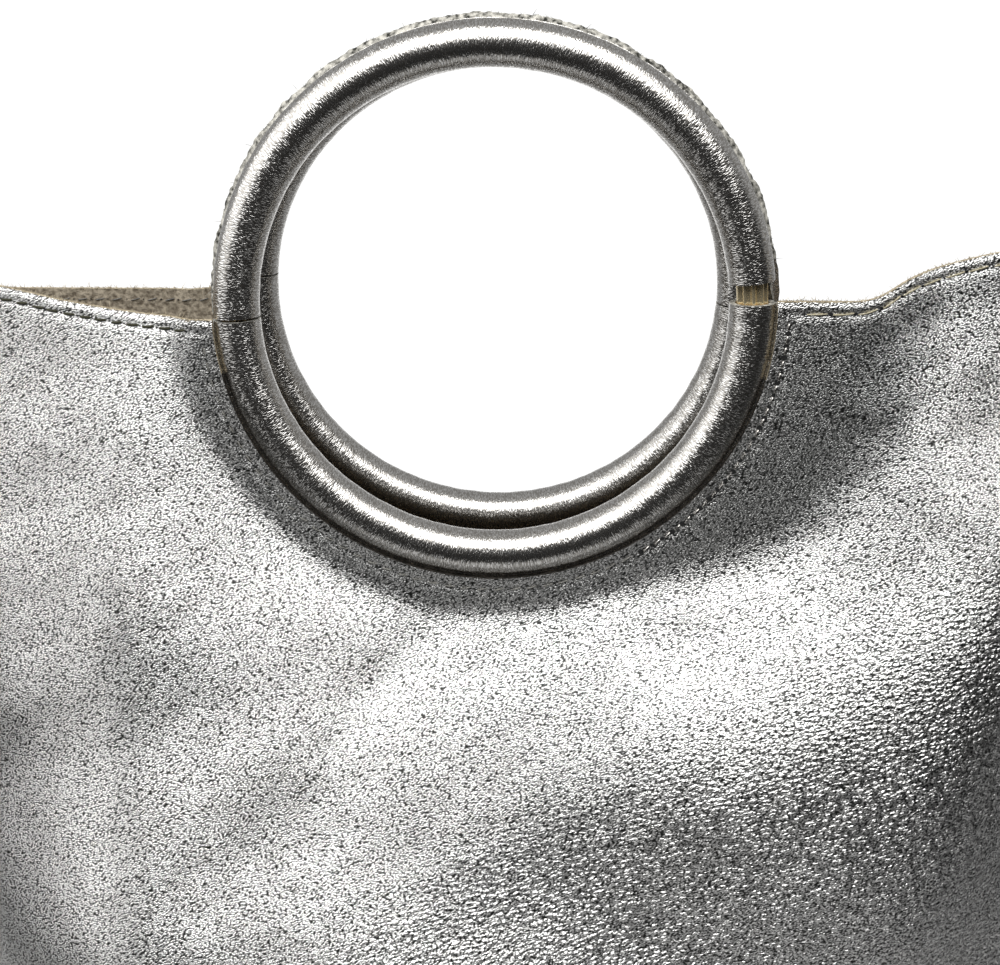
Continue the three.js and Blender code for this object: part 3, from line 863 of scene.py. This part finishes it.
# The crease colours are partly thinner foil and partly painted shade in the grain's creases
PANEL_FOIL = dict(
    bare_and_shaded=0.1, covered=0.5, crease=(0.07, 0.07, 0.066), colour=(0.96, 0.95, 0.93),
    crease_roughness=0.4, roughness=0.2,
)
SLEEVE_FOIL = dict(
    bare_and_shaded=0, covered=1, crease=(0.42, 0.4, 0.37), colour=(0.9, 0.89, 0.87),
    crease_roughness=0.28, roughness=0.18,
)

# The pebbles start and are full at these distances, in metres, along a direction to the lower right, and the
# colour is painted darker between them as shade, which also darkens the pebbled lower right as a whole
PEBBLE_AIM = (0.5, 0, -0.87)
PEBBLE_START = -0.125
PEBBLE_FULL = -0.085
PEBBLE_SHADE = 0.17

# Sockets for colours on a mix node
MIX_FIRST = 6
MIX_SECOND = 7
MIX_RESULT = 2

# Matt fibre: where its dark and light flecks end in the noise, fineness of the noise, roughness and shine
FLECK_DARK = 0.35
FLECK_LIGHT = 0.65
FLECK_DETAIL = 5
FIBRE_ROUGHNESS = 0.95
FIBRE_SHINE = 0.2

# Polished gold: colour, share of metal, and flecks of a finer and a rougher polish
GOLD = dict(colour=(1, 0.84, 0.54), metallic=0.82, smoothest=0.04, roughest=0.12, flecks=900, detail=4)


def new_material(name):
    """A new material, its nodes, its links and its main shader."""
    material = bpy.data.materials.new(name)
    material.use_nodes = True
    nodes = material.node_tree.nodes
    return material, nodes, material.node_tree.links, nodes["Principled BSDF"]


def grain_height(nodes, links, vector, grain):
    """Height of small domed grains, from 0 in the creases between them to 1 on top."""
    place = nodes.new("ShaderNodeMapping")
    place.vector_type = "TEXTURE"
    place.inputs["Rotation"].default_value = (0, -math.radians(grain["tilt"]), 0)
    place.inputs["Scale"].default_value = grain["size"]
    links.new(vector, place.inputs["Vector"])
    drift = nodes.new("ShaderNodeTexNoise")
    drift.inputs["Scale"].default_value = 1
    drift.inputs["Detail"].default_value = 2
    links.new(place.outputs[0], drift.inputs["Vector"])
    uneven = nodes.new("ShaderNodeVectorMath")
    uneven.operation = "MULTIPLY_ADD"
    uneven.inputs[1].default_value = [grain["uneven"]] * 3
    links.new(drift.outputs["Color"], uneven.inputs[0])
    links.new(place.outputs[0], uneven.inputs[2])
    cells = nodes.new("ShaderNodeTexVoronoi")
    cells.inputs["Scale"].default_value = 1
    links.new(uneven.outputs[0], cells.inputs["Vector"])
    height = nodes.new("ShaderNodeMapRange")
    height.interpolation_type = "SMOOTHSTEP"
    height.inputs["From Min"].default_value = grain["crease_reach"]
    height.inputs["From Max"].default_value = grain["top_reach"]
    links.new(cells.outputs["Distance"], height.inputs["Value"])
    return height.outputs[0]


def arithmetic(nodes, links, operation, *values):
    """A step of arithmetic on node outputs and plain numbers."""
    step = nodes.new("ShaderNodeMath")
    step.operation = operation
    for socket, value in zip(step.inputs, values):
        if isinstance(value, (int, float)):
            socket.default_value = value
        else:
            links.new(value, socket)
    return step.outputs[0]


def foil_finish(material_parts, top, relief, foil):
    """Silver foil over a grain, thinner in the creases and painted darker there as shade."""
    nodes, links, shader = material_parts
    bump = nodes.new("ShaderNodeBump")
    bump.inputs["Distance"].default_value = 1
    links.new(relief, bump.inputs["Height"])
    links.new(bump.outputs[0], shader.inputs["Normal"])
    foil_over_crease_shade = nodes.new("ShaderNodeMapRange")
    foil_over_crease_shade.inputs["From Min"].default_value = foil["bare_and_shaded"]
    foil_over_crease_shade.inputs["From Max"].default_value = foil["covered"]
    links.new(top, foil_over_crease_shade.inputs["Value"])
    colour = nodes.new("ShaderNodeMix")
    colour.data_type = "RGBA"
    colour.inputs[MIX_FIRST].default_value = (*foil["crease"], 1)
    colour.inputs[MIX_SECOND].default_value = (*foil["colour"], 1)
    links.new(foil_over_crease_shade.outputs[0], colour.inputs[0])
    links.new(colour.outputs[MIX_RESULT], shader.inputs["Base Color"])
    polish = nodes.new("ShaderNodeMapRange")
    polish.inputs["To Min"].default_value = foil["crease_roughness"]
    polish.inputs["To Max"].default_value = foil["roughness"]
    links.new(top, polish.inputs["Value"])
    links.new(polish.outputs[0], shader.inputs["Roughness"])
    shader.inputs["Metallic"].default_value = 1.0


def zone_share(nodes, links, vector, direction, start, full):
    """How far a place lies along a direction, as a share from 0 at start to 1 at full."""
    along = nodes.new("ShaderNodeVectorMath")
    along.operation = "DOT_PRODUCT"
    along.inputs[1].default_value = direction
    links.new(vector, along.inputs[0])
    share = nodes.new("ShaderNodeMapRange")
    share.interpolation_type = "SMOOTHSTEP"
    share.inputs["From Min"].default_value = start
    share.inputs["From Max"].default_value = full
    links.new(along.outputs["Value"], share.inputs["Value"])
    return share.outputs[0]


def panel_leather_material():
    """Foil leather with a fine grain over larger pebbles to the lower right, painted darker between them as
    shade.
    """
    material, nodes, links, shader = new_material("silver_panel_leather")
    place = nodes.new("ShaderNodeTexCoord").outputs["Object"]
    zone = zone_share(nodes, links, place, PEBBLE_AIM, PEBBLE_START, PEBBLE_FULL)
    fine = grain_height(nodes, links, place, FINE_GRAIN)
    pebble = grain_height(nodes, links, place, PEBBLE_GRAIN)
    raised = arithmetic(nodes, links, "MULTIPLY", pebble, zone)
    # Painted shade: the colour is darker between the pebbles, and so darker in the pebbled lower right
    shade_between_pebbles = arithmetic(nodes, links, "SUBTRACT", zone, raised)
    top = arithmetic(nodes, links, "MULTIPLY_ADD", shade_between_pebbles, -PEBBLE_SHADE, fine)
    swell = arithmetic(nodes, links, "MULTIPLY", raised, PEBBLE_GRAIN["height"])
    relief = arithmetic(nodes, links, "MULTIPLY_ADD", fine, FINE_GRAIN["height"], swell)
    foil_finish((nodes, links, shader), top, relief, PANEL_FOIL)
    return material


def sleeve_leather_material():
    """Foil leather stretched round a ring, its grain drawn out across the ring."""
    material, nodes, links, shader = new_material("silver_sleeve_leather")
    place = nodes.new("ShaderNodeUVMap")
    place.uv_map = "wrap"
    top = grain_height(nodes, links, place.outputs["UV"], SLEEVE_GRAIN)
    relief = arithmetic(nodes, links, "MULTIPLY", top, SLEEVE_GRAIN["height"])
    foil_finish((nodes, links, shader), top, relief, SLEEVE_FOIL)
    return material


def fibre_material(name, light, dark, scale, height):
    """Matt fibre, for cut edges, the suede side and threads, and as painted shade in the needle holes and on
    the scoop's edge.
    """
    material, nodes, links, shader = new_material(name)
    place = nodes.new("ShaderNodeTexCoord")
    noise = nodes.new("ShaderNodeTexNoise")
    noise.inputs["Scale"].default_value = scale
    noise.inputs["Detail"].default_value = FLECK_DETAIL
    links.new(place.outputs["Object"], noise.inputs["Vector"])
    ramp = nodes.new("ShaderNodeValToRGB")
    ramp.color_ramp.elements[0].position = FLECK_DARK
    ramp.color_ramp.elements[0].color = (*dark, 1)
    ramp.color_ramp.elements[1].position = FLECK_LIGHT
    ramp.color_ramp.elements[1].color = (*light, 1)
    links.new(noise.outputs["Fac"], ramp.inputs["Fac"])
    links.new(ramp.outputs["Color"], shader.inputs["Base Color"])
    bump = nodes.new("ShaderNodeBump")
    bump.inputs["Distance"].default_value = height / METRE
    links.new(noise.outputs["Fac"], bump.inputs["Height"])
    links.new(bump.outputs[0], shader.inputs["Normal"])
    shader.inputs["Roughness"].default_value = FIBRE_ROUGHNESS
    shader.inputs["Specular IOR Level"].default_value = FIBRE_SHINE
    return material


def gold_material():
    """Polished metal, with faint flecks in its polish."""
    material, nodes, links, shader = new_material("polished_gold")
    place = nodes.new("ShaderNodeTexCoord")
    noise = nodes.new("ShaderNodeTexNoise")
    noise.inputs["Scale"].default_value = GOLD["flecks"]
    noise.inputs["Detail"].default_value = GOLD["detail"]
    links.new(place.outputs["Object"], noise.inputs["Vector"])
    polish = nodes.new("ShaderNodeMapRange")
    polish.inputs["To Min"].default_value = GOLD["smoothest"]
    polish.inputs["To Max"].default_value = GOLD["roughest"]
    links.new(noise.outputs["Fac"], polish.inputs["Value"])
    links.new(polish.outputs[0], shader.inputs["Roughness"])
    shader.inputs["Base Color"].default_value = (*GOLD["colour"], 1)
    shader.inputs["Metallic"].default_value = GOLD["metallic"]
    return material


# The materials in use. Fibres have a light and a dark colour, flecks per metre and a height in millimetres.
panel_leather = panel_leather_material()
sleeve_leather = sleeve_leather_material()
suede = fibre_material("beige_suede", (0.62, 0.54, 0.42), (0.2, 0.165, 0.12), 900, 0.4)
raw_edge = fibre_material("raw_cut_edge", (0.62, 0.54, 0.39), (0.26, 0.21, 0.14), 1500, 0.3)
worn_edge = fibre_material("worn_cut_edge", (0.62, 0.6, 0.54), (0.03, 0.03, 0.025), 800, 0.4)
# Painted shadow for the scoop's cut edge under the sleeve
scoop_edge_painted_shadow = fibre_material("cut_edge_painted_shadow", (0.08, 0.07, 0.06), (0.02, 0.018, 0.015), 900, 0.3)
edge_fibre = fibre_material("loose_edge_fibre", (0.6, 0.52, 0.38), (0.22, 0.18, 0.12), 1500, 0.1)
thread_pale = fibre_material("pale_thread", (0.55, 0.5, 0.36), (0.36, 0.32, 0.22), 4000, 0.1)
thread_olive = fibre_material("olive_thread", (0.08, 0.08, 0.055), (0.03, 0.03, 0.02), 4000, 0.1)
thread_dark = fibre_material("dark_thread", (0.26, 0.25, 0.23), (0.12, 0.12, 0.11), 4000, 0.1)
# Painted shade: near-black discs stand for the shade inside the needle holes
needle_hole_shade = fibre_material("needle_hole_shade", (0.03, 0.03, 0.03), (0.01, 0.01, 0.01), 3000, 0.1)
gold = gold_material()

# Pieces
for side_number, side_name in enumerate(RINGS):
    panel_piece(side_name)
    core_piece(side_name)
    sleeve_piece(side_name, "upper")
    sleeve_piece(side_name, "lower")
    top_seams(side_name, side_number)
    scoop_seams(side_name, side_number)
    edge_fuzz(side_name, EDGE_FIBRE_SEED + side_number)
    fin_fuzz(side_name, FIN_FIBRE_SEED + side_number)

# Floor
FLOOR_RADIUS = 240
FLOOR_DROP = 0.2
FLOOR_SIDES = 96
FLOOR_COLOUR = (0.42, 0.42, 0.42)
FLOOR_ROUGHNESS = 0.7

# Room. The limits are of a direction's lean to the back and up, and of the cosine of its angle from the
# middle of the backdrop.
ROOM_LIGHT = 0.02
CEILING_LIGHT = 0.34
CEILING_AIM = (0, 1, 0.5)
CEILING_START = -0.3
CEILING_FULL = 0.4
BACKDROP_LIGHT = 0.75
BACKDROP_AIM = (-0.022, 0.951, -0.309)
BACKDROP_EDGE = 0.88
BACKDROP_FULL = 0.935

# Softboxes, in metres and watts
LIGHT_TARGET = (0, -0.04, 0.18)
SOFTBOXES = {
    "key_softbox": dict(place=(0.05, -0.65, 1.16), size=(1.6, 0.9), power=19.5),
    "left_softbox": dict(place=(-1.05, -0.35, 0.75), size=(1.28, 1.28), power=9),
}


def floor_material():
    """Matt and pale."""
    material, _, _, shader = new_material("pale_floor")
    shader.inputs["Base Color"].default_value = (*FLOOR_COLOUR, 1)
    shader.inputs["Roughness"].default_value = FLOOR_ROUGHNESS
    return material


def floor_piece():
    """A round floor just under the bag."""
    turn = np.linspace(0, 2 * math.pi, FLOOR_SIDES, endpoint=False)
    level = 0 * turn - FLOOR_DROP
    points = np.stack([FLOOR_RADIUS * np.cos(turn), FLOOR_RADIUS * np.sin(turn), level], 1)
    add_mesh("floor", points, [list(range(FLOOR_SIDES))], [floor_material()])


def soft_light(name, place, size, power):
    """A rectangular light aimed at the bag."""
    light = bpy.data.lights.new(name, "AREA")
    light.shape = "RECTANGLE"
    light.size, light.size_y = size
    light.energy = power
    lamp = bpy.data.objects.new(name, light)
    bpy.context.scene.collection.objects.link(lamp)
    lamp.location = place
    aim = Vector(LIGHT_TARGET) - Vector(place)
    lamp.rotation_mode = "QUATERNION"
    lamp.rotation_quaternion = aim.to_track_quat("-Z", "Y")


def studio_world():
    """A grey room behind and overhead with a white backdrop in it, dark in front round the softboxes."""
    world = bpy.data.worlds.new("studio")
    bpy.context.scene.world = world
    world.use_nodes = True
    nodes = world.node_tree.nodes
    links = world.node_tree.links
    place = nodes.new("ShaderNodeTexCoord").outputs["Generated"]
    ceiling = zone_share(nodes, links, place, CEILING_AIM, CEILING_START, CEILING_FULL)
    room = arithmetic(nodes, links, "MULTIPLY_ADD", ceiling, CEILING_LIGHT, ROOM_LIGHT)
    backdrop = zone_share(nodes, links, place, BACKDROP_AIM, BACKDROP_EDGE, BACKDROP_FULL)
    strength = arithmetic(nodes, links, "MULTIPLY_ADD", backdrop, BACKDROP_LIGHT, room)
    links.new(strength, nodes["Background"].inputs["Strength"])
    nodes["Background"].inputs["Color"].default_value = (1, 1, 1, 1)


def photo_camera():
    """The camera at the photograph's angle and framing."""
    azimuth = math.radians(CAMERA_AZIMUTH)
    elevation = math.radians(CAMERA_ELEVATION)
    level = math.cos(elevation)
    away = Vector((math.sin(azimuth) * level, -math.cos(azimuth) * level, math.sin(elevation)))
    camera_data = bpy.data.cameras.new("photo_camera")
    camera_data.sensor_width = CAMERA_SENSOR
    camera_data.lens = CAMERA_LENS
    camera = bpy.data.objects.new("photo_camera", camera_data)
    bpy.context.scene.collection.objects.link(camera)
    camera.location = (Vector(CAMERA_TARGET) + away * CAMERA_DISTANCE) / METRE
    camera.rotation_mode = "QUATERNION"
    camera.rotation_quaternion = (-away).to_track_quat("-Z", "Y")
    camera_data.clip_start = CAMERA_NEAR
    camera_data.clip_end = CAMERA_FAR
    bpy.context.scene.camera = camera


floor_piece()
studio_world()
for light_name, softbox in SOFTBOXES.items():
    soft_light(light_name, **softbox)
photo_camera()
bpy.context.scene.view_settings.view_transform = "Standard"
